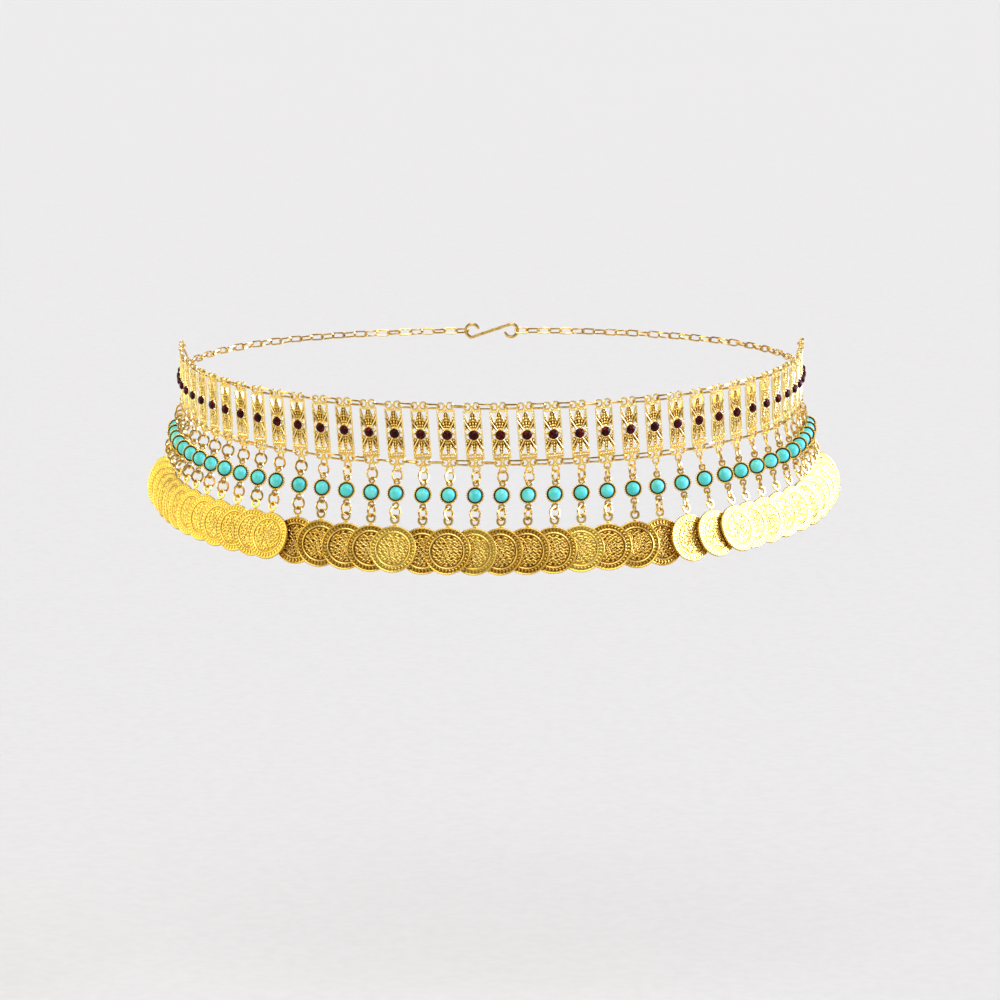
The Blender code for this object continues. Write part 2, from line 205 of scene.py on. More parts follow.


# Surface turned round y: (r cos a, y, r sin a), from rows of radius, y, share of the teeth and tone. Teeth
# wave the radius by share tooth cos(teeth a) and darken the tone by share (1 - cos(teeth a)) / 2: painted
# shade in their gaps
def turnedSurface(profile, around, teeth=0, tooth=0.0, poles=True):
    profile = np.asarray(profile, float)
    angle = np.arange(around) * 2 * np.pi / around
    wave = profile[:, 2:3] * np.cos(teeth * angle)
    r = profile[:, :1] * (1 + tooth * wave)
    # painted shade in the gaps between the teeth
    tone = profile[:, 3:4] * (1 - 0.5 * (profile[:, 2:3] - wave))
    points = np.stack([r * np.cos(angle), profile[:, 1:2] + 0 * r, r * np.sin(angle)], -1)
    ends = ((0, profile[0, 1], 0), (0, profile[-1, 1], 0)) if poles else (None, None)
    return gridSurface(points, ends, closedRows=not poles, tone=tone)


# Ball: rings of radius r cos u at y = r sin u, u from pole to pole
def bead(radius, around=7, rows=4, tone=1.0):
    lift = np.linspace(-1, 1, rows + 2)[1:-1] * np.pi / 2
    profile = np.stack([radius * np.cos(lift), radius * np.sin(lift), 0 * lift, 0 * lift + tone], -1)
    ball = turnedSurface(profile, around)
    ball["points"][-2:] = [[0, -radius, 0], [0, radius, 0]]
    return ball


# Hill of height 1 over a centre: 1 - (offset / width)^2, not below 0
def ridge(value, centre, width):
    return np.clip(1 - ((value - centre) / width) ** 2, 0, 1)


# Mesh with its tone as a point attribute, riding on a body, in metres in the frame
def makePiece(name, surfaces, material, body, replaces=(), sharpOver=38.0):
    whole = joined(surfaces)
    points = whole["points"] * mm
    quads, triangles = whole["quads"], whole["triangles"]
    mesh = bpy.data.meshes.new(name)
    mesh.vertices.add(len(points))
    mesh.vertices.foreach_set("co", points.astype(np.float32).ravel())
    corners = np.concatenate([quads.ravel(), triangles.ravel()])
    sizes = np.concatenate([np.full(len(quads), 4), np.full(len(triangles), 3)])
    mesh.loops.add(len(corners))
    mesh.loops.foreach_set("vertex_index", corners.astype(np.int32))
    mesh.polygons.add(len(sizes))
    mesh.polygons.foreach_set("loop_start", np.append(0, np.cumsum(sizes)[:-1]).astype(np.int32))
    mesh.polygons.foreach_set("loop_total", sizes.astype(np.int32))
    tone = mesh.attributes.new("tone", "FLOAT", "POINT")
    tone.data.foreach_set("value", whole["tone"].astype(np.float32))
    mesh.update(calc_edges=True)
    mesh.polygons.foreach_set("use_smooth", np.full(len(sizes), sharpOver > 0))
    if sharpOver > 0:
        mesh.set_sharp_from_angle(angle=math.radians(sharpOver))
    mesh.materials.append(material)
    piece = bpy.data.objects.new(name, mesh)
    bpy.context.scene.collection.objects.link(piece)
    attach(piece, body)
    if replaces:
        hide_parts(*replaces)
    return piece


# sRGB hex to linear: c / 12.92 up to 0.04045, else ((c + 0.055) / 1.055)^2.4
def toLinear(hexColour):
    parts = np.array([int(hexColour[k:k + 2], 16) / 255 for k in (1, 3, 5)])
    linear = np.where(parts <= 0.04045, parts / 12.92, ((parts + 0.055) / 1.055) ** 2.4)
    return (*linear, 1.0)


# Adds a node: links are input = (node, output), the other settings go to inputs or to the node itself
def addNode(tree, kind, links=None, inputs=None, **settings):
    made = tree.nodes.new(kind)
    for key, value in settings.items():
        setattr(made, key, value)
    for key, value in (inputs or {}).items():
        made.inputs[key].default_value = value
    for key, (source, output) in (links or {}).items():
        tree.links.new(source.outputs[output], made.inputs[key])
    return made


# Material with its node tree and its shader
def newMaterial(name):
    material = bpy.data.materials.new(name)
    material.use_nodes = True
    tree = material.node_tree
    return material, tree, tree.nodes["Principled BSDF"]


# Stops of a ramp from pairs of position and hex colour
def setRamp(ramp, stops):
    elements = ramp.color_ramp.elements
    while len(elements) < len(stops):
        elements.new(0.5)
    for element, (position, colour) in zip(elements, stops):
        element.position = position
        element.color = toLinear(colour)


# Shared by the gilt surfaces: size and share of the clouds that shift the ramp, and the bump's strength
giltSurface = dict(cloud=9.0, cloudShare=0.3, bump=0.6)
# Gilt cast brass: tumbled castings, with painted highlights on the high places and brown painted shade in
# the hollows
giltCast = dict(
    hollow="#5A320A", low="#D6A03A", high="#FCDA6C", top="#FFF2C0", stops=(0.24, 0.58),
    roughHigh=0.18, roughLow=0.36, grain=0.3, grainDepth=0.04,
)
# Gilt coin brass, shaded copy: coins pressed in a die, with heavy brown painted shade in the field and
# painted highlights on the relief
coinGiltShaded = dict(
    hollow="#4E2C08", low="#C48626", high="#F4CB54", top="#FFEEAC", stops=(0.35, 0.7),
    roughHigh=0.22, roughLow=0.34, grain=0.22, grainDepth=0.03,
)
# Gilt coin brass, lit copy: the same coins painted as lying in light, evenly bright over field and relief,
# with lighter painted shade
coinGiltLit = dict(
    hollow="#B88A30", low="#DCB044", high="#F0D068", top="#FAE498", stops=(0.35, 0.7),
    roughHigh=0.24, roughLow=0.34, grain=0.22, grainDepth=0.03,
)


# The ramp is read by the tone plus the clouds and paints shade in the hollows and highlights on the high
# places; the grain, in mm, is a bump
def giltMaterial(name, look):
    material, tree, shader = newMaterial(name)
    place = addNode(tree, "ShaderNodeTexCoord")
    tone = addNode(tree, "ShaderNodeAttribute", attribute_name="tone")
    cloud = addNode(tree, "ShaderNodeTexNoise", {"Vector": (place, "Object")},
                    {"Scale": 1 / (giltSurface["cloud"] * mm), "Detail": 2.0, "Roughness": 0.5})
    grain = addNode(tree, "ShaderNodeTexNoise", {"Vector": (place, "Object")},
                    {"Scale": 1 / (look["grain"] * 2 * mm), "Detail": 3.0, "Roughness": 0.6})
    share = giltSurface["cloudShare"]
    shift = addNode(tree, "ShaderNodeMath", {0: (cloud, "Fac")}, {1: share, 2: -share / 2},
                    operation="MULTIPLY_ADD")
    shade = addNode(tree, "ShaderNodeMath", {0: (tone, "Fac"), 1: (shift, "Value")},
                    operation="ADD", use_clamp=True)
    ramp = addNode(tree, "ShaderNodeValToRGB", {"Fac": (shade, "Value")})
    stops = zip((0.0, *look["stops"], 1.0), (look[key] for key in ("hollow", "low", "high", "top")))
    setRamp(ramp, list(stops))
    rough = addNode(tree, "ShaderNodeMapRange", {"Value": (shade, "Value")},
                    {"To Min": look["roughLow"], "To Max": look["roughHigh"]})
    bump = addNode(tree, "ShaderNodeBump", {"Height": (grain, "Fac")},
                   {"Strength": giltSurface["bump"], "Distance": look["grainDepth"] * mm})
    tree.links.new(ramp.outputs["Color"], shader.inputs["Base Color"])
    tree.links.new(rough.outputs["Result"], shader.inputs["Roughness"])
    tree.links.new(bump.outputs["Normal"], shader.inputs["Normal"])
    shader.inputs["Metallic"].default_value = 1.0
    return material


# Gilt drawn wire: smooth and bright, paler than the castings, with faint marks of drawing and handling
giltWire = dict(dark="#C2923E", light="#F6D68A", marks=1.2, roughDark=0.3, roughLight=0.16)


# The ramp and the roughness are read by clouds of the marks' size
def giltWireMaterial():
    look = giltWire
    material, tree, shader = newMaterial("gilt drawn wire")
    place = addNode(tree, "ShaderNodeTexCoord")
    cloud = addNode(tree, "ShaderNodeTexNoise", {"Vector": (place, "Object")},
                    {"Scale": 1 / (look["marks"] * 2 * mm), "Detail": 2.0})
    ramp = addNode(tree, "ShaderNodeValToRGB", {"Fac": (cloud, "Fac")})
    setRamp(ramp, [(0.3, look["dark"]), (0.65, look["light"])])
    rough = addNode(tree, "ShaderNodeMapRange", {"Value": (cloud, "Fac")},
                    {"To Min": look["roughDark"], "To Max": look["roughLight"]})
    tree.links.new(ramp.outputs["Color"], shader.inputs["Base Color"])
    tree.links.new(rough.outputs["Result"], shader.inputs["Roughness"])
    shader.inputs["Metallic"].default_value = 1.0
    return material


# Turquoise resin cabochon: moulded and polished, an even blue-green with faint milky clouds
turquoiseResin = dict(deep="#42C8C4", base="#58DCD8", milky="#92ECE4", cloud=2.5,
                      rough=0.2, roughMilky=0.32, ior=1.54, subsurface=0.08, lightDepth=(1.0, 1.4, 1.5))


# The same with the resin's clouds, and light that goes a little way in, deeper for green and blue
def turquoiseMaterial():
    look = turquoiseResin
    material, tree, shader = newMaterial("turquoise resin")
    place = addNode(tree, "ShaderNodeTexCoord")
    cloud = addNode(tree, "ShaderNodeTexNoise", {"Vector": (place, "Object")},
                    {"Scale": 1 / (look["cloud"] * 2 * mm), "Detail": 3.0, "Roughness": 0.55})
    ramp = addNode(tree, "ShaderNodeValToRGB", {"Fac": (cloud, "Fac")})
    setRamp(ramp, [(0.25, look["deep"]), (0.5, look["base"]), (0.8, look["milky"])])
    tree.links.new(ramp.outputs["Color"], shader.inputs["Base Color"])
    rough = addNode(tree, "ShaderNodeMapRange", {"Value": (cloud, "Fac")},
                    {"To Min": look["rough"], "To Max": look["roughMilky"]})
    tree.links.new(rough.outputs["Result"], shader.inputs["Roughness"])
    shader.inputs["IOR"].default_value = look["ior"]
    shader.inputs["Subsurface Weight"].default_value = look["subsurface"]
    shader.inputs["Subsurface Radius"].default_value = [depth * mm for depth in look["lightDepth"]]
    shader.inputs["Subsurface Scale"].default_value = 1.0
    return material


# Garnet glass: pressed and foiled dark red stones; the red deepens and brightens from facet to facet, with
# little glare
garnetGlass = dict(deep="#180204", mid="#4A0506", bright="#A01412", rough=0.08, roughDeep=0.14,
                   ior=1.52, shine=0.1)


# The ramp and the roughness are read by the tone, which is drawn for each corner of the facets
def garnetMaterial():
    look = garnetGlass
    material, tree, shader = newMaterial("garnet glass")
    tone = addNode(tree, "ShaderNodeAttribute", attribute_name="tone")
    ramp = addNode(tree, "ShaderNodeValToRGB", {"Fac": (tone, "Fac")})
    setRamp(ramp, [(0.0, look["deep"]), (0.6, look["mid"]), (1.0, look["bright"])])
    rough = addNode(tree, "ShaderNodeMapRange", {"Value": (tone, "Fac")},
                    {"To Min": look["roughDeep"], "To Max": look["rough"]})
    tree.links.new(ramp.outputs["Color"], shader.inputs["Base Color"])
    tree.links.new(rough.outputs["Result"], shader.inputs["Roughness"])
    shader.inputs["IOR"].default_value = look["ior"]
    shader.inputs["Specular IOR Level"].default_value = look["shine"]
    return material


castGilt = giltMaterial("gilt cast brass", giltCast)
shadedCoinGilt = giltMaterial("gilt coin brass in painted shade", coinGiltShaded)
litCoinGilt = giltMaterial("gilt coin brass in painted light", coinGiltLit)
wireGilt = giltWireMaterial()
turquoise = turquoiseMaterial()
garnet = garnetMaterial()
print("materials:", len(bpy.data.materials))

# Depths are y, so the front is at minus; shapes scale a bead along x, y and z
plate = dict(
    barAt=3.45, barTop=10.3, barDepth=-0.2, barWire=0.34,
    topBar=9.85, topBarDepth=-0.15, topBarWire=0.45,
    bottomBars=(8.5, 9.9), bottomBarWire=0.36, bottomTone=0.5,
    beads=6, beadRadius=0.44, beadReach=2.75, beadLow=9.2, beadTone=0.75,
    eyeSpread=1.85, eyeRise=11.9, eyeRadius=1.45, eyeWire=0.4, thirdEye=14.85,
    knots=(10.5, -10.5, -13.1), knotRadius=0.42, knotDepth=-0.1, knotTone=0.6,
    stone=2.0, stoneSeat=0.75, clawRadius=0.36, clawReach=1.58, clawDepth=-0.8,
    bossRadius=0.78, bossShape=(0.85, 0.8, 1), bossAt=(2.75, -0.1, 0.45), bossTone=0.75,
)
# Wall of the collet round the stone, as rows for turnedSurface
colletWall = [(1.7, 0.35, 0, 0.3), (2.3, 0.35, 0, 0.5), (2.3, -0.4, 0, 0.7), (2.12, -0.65, 0, 0.9),
              (1.95, -0.5, 0, 0.2)]
# The fans' slab, rays, pearls on the rays and rim
relief = dict(
    half=3.6, columns=49, rows=27, web=0.15, height=0.55, back=0.35, backTone=0.5,
    rayTurn=15.0, rayHalf=0.42, splitFrom=5.2, splitOver=1.2,
    pearl=1.2, pearlMiddle=0.55, pearlSwing=0.45, rimIn=0.15, rimHalf=0.34, rimHeight=0.9,
)
# Edges of the two fans by place across: near the stone, and far, with the dips that open beside the spike
fanUpper = dict(
    across=[0, 0.6, 0.75, 1.05, 1.65, 1.8, 1.95, 2.25, 2.7, 3.0, 3.15, 3.3, 3.6],
    near=[1.9, 1.85, 1.85, 1.7, 1.35, 1.8, 2.3, 2.7, 2.7, 2.0, 1.8, 1.7, 1.6],
    far=[9.8, 9.7, 9.3, 8.4, 6.6, 6.1, 5.7, 6.4, 8.0, 8.9, 9.4, 9.7, 9.8],
)
fanLower = dict(
    across=[0, 0.45, 0.6, 0.75, 1.05, 1.65, 1.8, 2.1, 2.7, 2.85, 3.0, 3.6],
    near=[1.9, 1.85, 1.85, 1.8, 1.7, 1.35, 1.2, 1.7, 1.7, 1.4, 1.2, 1.0],
    far=[8.6, 8.5, 7.6, 6.7, 4.9, 5.9, 6.3, 6.9, 8.2, 8.5, 8.6, 8.7],
)


# Slab between the near and far edges over x. Rays turn about the stone, ridges 1 - (distance / half)^2
# pearled by middle + swing cos(360 reach / pearl); more of them start between the first ones further out,
# two rays are smooth wires, and the far edge is raised to a rim
def fanSurface(fan, way):
    f = relief
    x = np.linspace(-f["half"], f["half"], f["columns"])
    near = np.interp(np.abs(x), fan["across"], fan["near"])[:, None]
    far = np.interp(np.abs(x), fan["across"], fan["far"])[:, None]
    z = near + (far - near) * np.linspace(0, 1, f["rows"])
    across = x[:, None] + 0 * z
    reach = np.hypot(across, z)
    turn = np.degrees(np.arctan2(np.abs(across), z)) / f["rayTurn"]
    aside = np.radians(np.abs(turn - np.round(turn)) * f["rayTurn"]) * reach
    ray = ridge(aside, 0, f["rayHalf"])
    between = ridge(np.radians(f["rayTurn"] / 2) * reach - aside, 0, f["rayHalf"])
    between *= np.clip((reach - f["splitFrom"]) / f["splitOver"], 0, 1)
    wave = f["pearlMiddle"] + f["pearlSwing"] * np.cos(2 * np.pi * reach / f["pearl"])
    pearled = np.maximum(ray, between) * wave
    smooth = np.round(turn) % 4 == 2
    slope = np.gradient(far[:, 0], x)[:, None]
    rim = ridge((far - z) / np.hypot(1, slope), f["rimIn"], f["rimHalf"])
    height = np.maximum(np.where(smooth & (ray > 0), ray, pearled), f["rimHeight"] * rim)
    front = np.stack([across, -f["web"] - f["height"] * height, way * z], -1)
    back = front[:, [-1, 0]].copy()
    back[..., 1] = f["back"]
    tone = np.concatenate([height, np.full((len(x), 2), f["backTone"])], 1)
    loop = np.concatenate([front, back], 1)
    return gridSurface(loop, (loop[0].mean(0), loop[-1].mean(0)), tone=tone)


# Stone in flat facets: rings of points at shares of the radius, every other ring turned by half a step
def stoneSurface(radius, seat, sides=12):
    rings = np.array([(0.5, -0.72), (0.84, -0.5), (1.0, -0.12), (0.94, 0.1), (0.35, 0.8)])
    halfSteps = 2 * np.arange(sides) + np.arange(len(rings))[:, None] % 2
    angle = halfSteps * np.pi / sides
    share, depth = rings[:, :1], rings[:, 1:]
    points = np.stack([share * np.cos(angle), depth + 0 * angle, share * np.sin(angle)], -1) * radius
    points[..., 1] -= seat
    tone = draw.uniform(0, 1, angle.shape) ** 2
    return gridSurface(points, (points[0].mean(0), points[-1].mean(0)), tone=tone)


# One plate: fans, frame, eyes, the collet with its claws round the stone and a boss on either side of it
def plateSurface():
    p = plate
    at, top, depth = p["barAt"], p["barTop"], p["barDepth"]
    corners = [(sx, sz) for sx in (-1, 1) for sz in (-1, 1)]
    parts = [fanSurface(fanUpper, 1), fanSurface(fanLower, -1)]
    parts += [wireBar((x, depth, -top), (x, depth, top), p["barWire"]) for x in (-at, at)]
    high, topDepth = p["topBar"], p["topBarDepth"]
    parts.append(wireBar((-at, topDepth, high), (at, topDepth, high), p["topBarWire"]))
    parts += [wireBar((-at, depth, -z), (at, depth, -z), p["bottomBarWire"], p["bottomTone"])
              for z in p["bottomBars"]]
    parts += [moved(bead(p["beadRadius"], tone=p["beadTone"]), (x, depth, -p["beadLow"]))
              for x in np.linspace(-p["beadReach"], p["beadReach"], p["beads"])]
    eye = wireRing(p["eyeRadius"], p["eyeWire"], around=16, across=6)
    places = [(sx * p["eyeSpread"], 0, sz * p["eyeRise"]) for sx, sz in corners]
    parts += [moved(eye, place) for place in places + [(0, 0, -p["thirdEye"])]]
    knot = bead(p["knotRadius"], tone=p["knotTone"])
    parts += [moved(knot, (0, p["knotDepth"], z)) for z in p["knots"]]
    parts.append(turnedSurface(colletWall, 20, poles=False))
    claw, reach = bead(p["clawRadius"]), p["clawReach"]
    parts += [moved(claw, (sx * reach, p["clawDepth"], sz * reach)) for sx, sz in corners]
    boss = bead(p["bossRadius"], tone=p["bossTone"])
    parts += [moved(boss, p["bossAt"] * np.array([sx, 1, 1]), scale=p["bossShape"]) for sx in (-1, 1)]
    return joined(parts)


plateTemplate = plateSurface()
sections = row["count"] // row["inSection"]
for section in range(sections):
    places = range(section * row["inSection"], (section + 1) * row["inSection"])
    frames = [plateFrame(place) for place in places]
    makePiece(f"openwork_plates_{section + 1:02d}", [moved(plateTemplate, *at) for at in frames],
              castGilt, "root", (f"plates_{section + 1:02d}",))
stones = [moved(stoneSurface(plate["stone"], plate["stoneSeat"]), *plateFrame(place))
          for place in range(row["count"])]
makePiece("red_stones", stones, garnet, "root", sharpOver=0)

# Links stop short of the middle of their eyes. Tips are in degrees: open links show their hole, closed ones
# stand nearly edge on
link = dict(half=1.4, wire=0.44, short=0.5, open=(32.0, 42.0), closed=(68.0, 86.0), shareOpen=0.72)


# Oblong link through two eyes: its plane holds the line between them and is tipped about it
def linkBetween(first, second, outwards):
    along = second - first
    length = np.linalg.norm(along)
    along /= length
    inward = -outwards + along * (along @ outwards)
    inward /= np.linalg.norm(inward)
    axes = np.stack([along, inward, np.cross(along, inward)])
    tip = draw.uniform(*(link["open"] if draw.random() < link["shareOpen"] else link["closed"]))
    stretch = length / 2 - link["short"] - link["half"]
    shape = wireRing(link["half"], link["wire"], around=14, across=5, stretch=stretch)
    return moved(shape, (first + second) / 2, turnAboutX(tip) @ axes)


# A point x across and z up in a plate's plane
def eyePlace(place, x, z):
    centre, axes = plateFrame(place)
    return centre + x * axes[0] + z * axes[2]


linkShapes = []
for place in range(row["count"] - 1):
    outwards = -plateFrame(place + 0.5)[1][1]
    for z in (plate["eyeRise"], -plate["eyeRise"]):
        ends = eyePlace(place, plate["eyeSpread"], z), eyePlace(place + 1, -plate["eyeSpread"], z)
        linkShapes.append(linkBetween(*ends, outwards))
makePiece("plate_links", linkShapes, wireGilt, "root")
print("links:", len(linkShapes))

# Drops are measured down from the third eye; each ring or eye hangs on the wire of the one above
pendant = dict(
    ringRadius=2.4, ringWire=0.5, upperRing=2.95, lowerRing=18.45, ringTurn=(36.0, 70.0), ringTone=0.9,
    bezelDrop=10.7, bezelTurn=-12.0, returnShare=0.8, teeth=24, tooth=0.05,
    granule=0.41, granuleAt=3.58, granuleDepth=-1.0, granuleTone=0.55,
    eyeRadius=1.2, eyeWire=0.45, eyeDepth=0.1, upperEye=5.6, lowerEye=15.8,
    stone=2.77, dome=2.2, stoneSeat=0.75, stoneFoot=0.35, footIn=0.1,
    coinDrop=34.0, coinRadius=10.0, coinHalf=0.4, coinTurns=(-14.0, 0.0, 9.0),
    coinTeeth=64, coinTooth=0.18, coinToothFrom=9.2, coinRelief=0.28, backRelief=0.168,
    coinEye=21.45, coinEyeRadius=1.65, coinEyeWire=0.55, coinEyeTone=1.1,
    lugRadius=0.9, lugShape=(1, 0.5, 0.7), lugRise=0.3, lugTone=0.7,
    litCoins=[*range(1, 13), 17, 20, 24, *range(28, 41)],  # the coins painted in the lit copy of the coin gilt
)
# Wall of a bezel from its back over the milling to the seat, as rows for turnedSurface; tone 0 at the seat
# paints the shadow round the stone
bezelWall = [(2.2, 1.35, 0, 0.5), (3.0, 1.3, 0, 0.6), (3.35, 0.95, 0.5, 0.8), (3.5, 0.2, 1, 0.9),
             (3.5, -0.8, 1, 0.5), (3.15, -1.0, 0.2, 0.0), (3.0, -0.5, 0, 0.0)]
# The coin's face from the edge in: milled rim, wreath of leaves in pairs, line, and a field of wavy rows
coinFace = dict(
    rimAt=9.6, rimHalf=0.42, rimMilling=0.2, wreathAt=8.35, wreathHalf=0.9, wreathHeight=0.95,
    leaves=36, leafSlant=3.0, leafWidth=0.2, lineAt=7.2, lineHalf=0.34, field=6.5, fieldFade=0.3,
    rowPitch=1.25, rowHalf=0.32, rowShift=1.9, waveHeight=0.34, waveLength=2.3, waveChange=0.6,
    pearlPitch=1.15, pearlHalf=0.36, pearlGaps=-0.35, pearlOrder=(12.9, 78.2),
)
# Its back: a raised edge and one ring
coinBack = dict(edgeFrom=9.1, edgeOver=0.35, ringAt=6.4, ringHalf=0.4, ringHeight=0.8)
# Radii of the rings that the two faces are made of, closer where the relief is steep
frontRadii = [*np.arange(0.25, 6.6, 0.27), 6.85, 7.05, 7.2, 7.35, 7.55, *np.arange(7.8, 9.2, 0.28),
              9.3, 9.45, 9.6, 9.75, 9.9]
backRadii = [9.7, 9.1, 6.8, 6.4, 6.0, 1.5]
# Tones of the lowest places and what full relief adds to them: painted shade in the field, painted
# highlight on the relief
coinTone = dict(front=(0.1, 0.9), edge=0.75, back=(0.35, 0.5))


# Height from 0 to 1 at radius r and angle a. Leaves are width + cos(count a + slant |r - middle|); a row of
# the field is z = row pitch + h sin(360 x / length), with its own length; pearls between the rows go where
# sin(12.9 column + 78.2 row) is above the gaps
def coinHeight(r, a):
    f = coinFace
    x, z = r * np.cos(a), r * np.sin(a)
    milling = 1 - f["rimMilling"] * (1 - np.cos(pendant["coinTeeth"] * a))
    rim = ridge(r, f["rimAt"], f["rimHalf"]) * milling
    slanted = np.cos(f["leaves"] * a + f["leafSlant"] * np.abs(r - f["wreathAt"]))
    wreath = f["wreathHeight"] * ridge(r, f["wreathAt"], f["wreathHalf"]) ** 0.5
    leaves = wreath * np.clip(f["leafWidth"] + slanted, 0, 1)
    line = ridge(r, f["lineAt"], f["lineHalf"])
    rowNumber = np.round(z / f["rowPitch"])
    length = f["waveLength"] + f["waveChange"] * np.sin(2 * rowNumber)
    wave = f["waveHeight"] * np.sin(2 * np.pi * x / length + f["rowShift"] * rowNumber)
    lift = (z - wave) / f["rowPitch"]
    rows = ridge((lift - np.round(lift)) * f["rowPitch"], 0, f["rowHalf"])
    along = x / f["pearlPitch"] + 0.5 * np.floor(lift)
    byColumn, byRow = f["pearlOrder"]
    shown = np.sin(byColumn * np.floor(along) + byRow * np.floor(lift)) > f["pearlGaps"]
    offset = np.hypot((along % 1 - 0.5) * f["pearlPitch"], (lift % 1 - 0.5) * f["rowPitch"])
    field = np.maximum(rows, shown * ridge(offset, 0, f["pearlHalf"]))
    field = np.clip((f["field"] - r) / f["fieldFade"], 0, 1) * field
    return np.clip(rim + leaves + line + field, 0, 1)


# Disc of rings of radius r: y = -half - relief height(r, a + turn) in front. Teeth cut the rings near the
# edge by tooth (1 - cos(teeth a)) times how near they are
def coinSurface(turn):
    p, b = pendant, coinBack
    around = p["coinTeeth"] * 2
    half, radius = p["coinHalf"], p["coinRadius"]
    angle = np.arange(around) * 2 * np.pi / around
    front, back = np.array(frontRadii)[:, None], np.array(backRadii)[:, None]
    faceHeight = coinHeight(front, angle + np.radians(turn))
    backHeight = np.clip((back - b["edgeFrom"]) / b["edgeOver"], 0, 1) + 0 * angle
    backHeight += b["ringHeight"] * ridge(back, b["ringAt"], b["ringHalf"])
    edgeDepth = np.array([-half, half])[:, None] + 0 * angle
    frontDepth, backDepth = -half - p["coinRelief"] * faceHeight, half + p["backRelief"] * backHeight
    y = np.concatenate([frontDepth, edgeDepth, backDepth])
    r = np.concatenate([front, [[radius], [radius]], back])
    cut = p["coinTooth"] * (1 - np.cos(p["coinTeeth"] * angle))
    r = r - cut * np.clip((r - p["coinToothFrom"]) / (radius - p["coinToothFrom"]), 0, 1)
    frontTone = coinTone["front"][0] + coinTone["front"][1] * faceHeight
    backTone = coinTone["back"][0] + coinTone["back"][1] * backHeight
    tone = np.concatenate([frontTone, np.full((2, around), coinTone["edge"]), backTone])
    points = np.stack([r * np.cos(angle), y, r * np.sin(angle)], -1)
    return gridSurface(points, ((0, y[0].mean(), 0), (0, y[-1].mean(), 0)), tone=tone)


# Coin, its eye and the lug that joins them
def coinPart(turn):
    p = pendant
    coin = moved(coinSurface(turn), (0, 0, -p["coinDrop"]))
    ring = wireRing(p["coinEyeRadius"], p["coinEyeWire"], around=16, across=6, tone=p["coinEyeTone"])
    coinEye = moved(ring, (0, 0, -p["coinEye"]))
    lugPlace = (0, 0, p["lugRise"] + p["coinRadius"] - p["coinDrop"])
    lug = moved(bead(p["lugRadius"], tone=p["lugTone"]), lugPlace, scale=p["lugShape"])
    return joined([coin, coinEye, lug])


# Dish turned round its facing axis with a milled wall and a granule on each tooth, and its two eyes
def bezelPart():
    p = pendant
    dish = turnedSurface(bezelWall, p["teeth"] * 3, p["teeth"], p["tooth"])
    angles = np.arange(p["teeth"]) * 2 * np.pi / p["teeth"]
    granule = bead(p["granule"], around=6, rows=3, tone=p["granuleTone"])
    at, depth = p["granuleAt"], p["granuleDepth"]
    rim = [moved(granule, (at * np.cos(a), depth, at * np.sin(a))) for a in angles]
    eye = wireRing(p["eyeRadius"], p["eyeWire"], around=14, across=6)
    rises = [p["bezelDrop"] - drop for drop in (p["upperEye"], p["lowerEye"])]
    eyes = [moved(eye, (0, p["eyeDepth"], rise)) for rise in rises]
    return joined([dish] + rim + eyes)


# Dome over a circle: radius s cos t, height h sin t, with a foot below the circle
def domeSurface(rows=8):
    p = pendant
    t = np.linspace(0, np.pi / 2, rows)[:-1]
    radius, depth = p["stone"] * np.cos(t), -p["stoneSeat"] - p["dome"] * np.sin(t)
    profile = np.stack([radius, depth, 0 * t, 0 * t + 1], -1)
    foot = [p["stone"] - p["footIn"], p["stoneFoot"] - p["stoneSeat"], 0, 1]
    dome = turnedSurface(np.vstack([foot, profile]), 24)
    dome["points"][-1, 1] = -p["stoneSeat"] - p["dome"]
    return dome


# Axes of a pendant from its hinge: y is the axis turned in, z the vertical without its part along the axis
def pendantFrame(joint):
    inward = -np.array(joint["axis"])
    up = np.array([0, 0, 1.0]) - inward * inward[2]
    up /= np.linalg.norm(up)
    return np.array(joint["pos_m"]) / mm, np.stack([np.cross(inward, up), inward, up])


# Place and axes of a bezel in its pendant's: turned by the fixed turn less a share of the coin's heading
def bezelFrame(at):
    place, axes = at
    heading = math.degrees(math.atan2(-axes[1][0], axes[1][1]))
    turned = turnAboutZ(pendant["bezelTurn"] - pendant["returnShare"] * heading) @ axes
    return place - pendant["bezelDrop"] * axes[2], turned


coinTemplates = [coinPart(turn) for turn in pendant["coinTurns"]]
bezelTemplate = bezelPart()
domeTemplate = domeSurface()
ringTemplate = wireRing(pendant["ringRadius"], pendant["ringWire"], around=18, across=6,
                        tone=pendant["ringTone"])
for joint in frame["joints"]:
    body = joint["child"]
    number = int(body[-2:])
    at = pendantFrame(joint)
    turns = draw.uniform(*pendant["ringTurn"], 2)
    rings = [moved(ringTemplate, (0, 0, -drop), turnAboutZ(turn))
             for drop, turn in zip((pendant["upperRing"], pendant["lowerRing"]), turns)]
    coin = moved(coinTemplates[number % len(coinTemplates)], *at)
    bezel, dome = [moved(shape, *bezelFrame(at)) for shape in (bezelTemplate, domeTemplate)]
    # Coins in the list get the lit copy of the coin gilt, the others the shaded copy: painted light and
    # shade
    litOrShaded = litCoinGilt if number in pendant["litCoins"] else shadedCoinGilt
    makePiece(f"coin_{number:02d}", [coin], litOrShaded, body, (body,), sharpOver=60)
    makePiece(f"bezel_{number:02d}", [bezel], castGilt, body)
    makePiece(f"pendant_rings_{number:02d}", [moved(joined(rings), *at)], wireGilt, body)
    makePiece(f"turquoise_{number:02d}", [dome], turquoise, body)

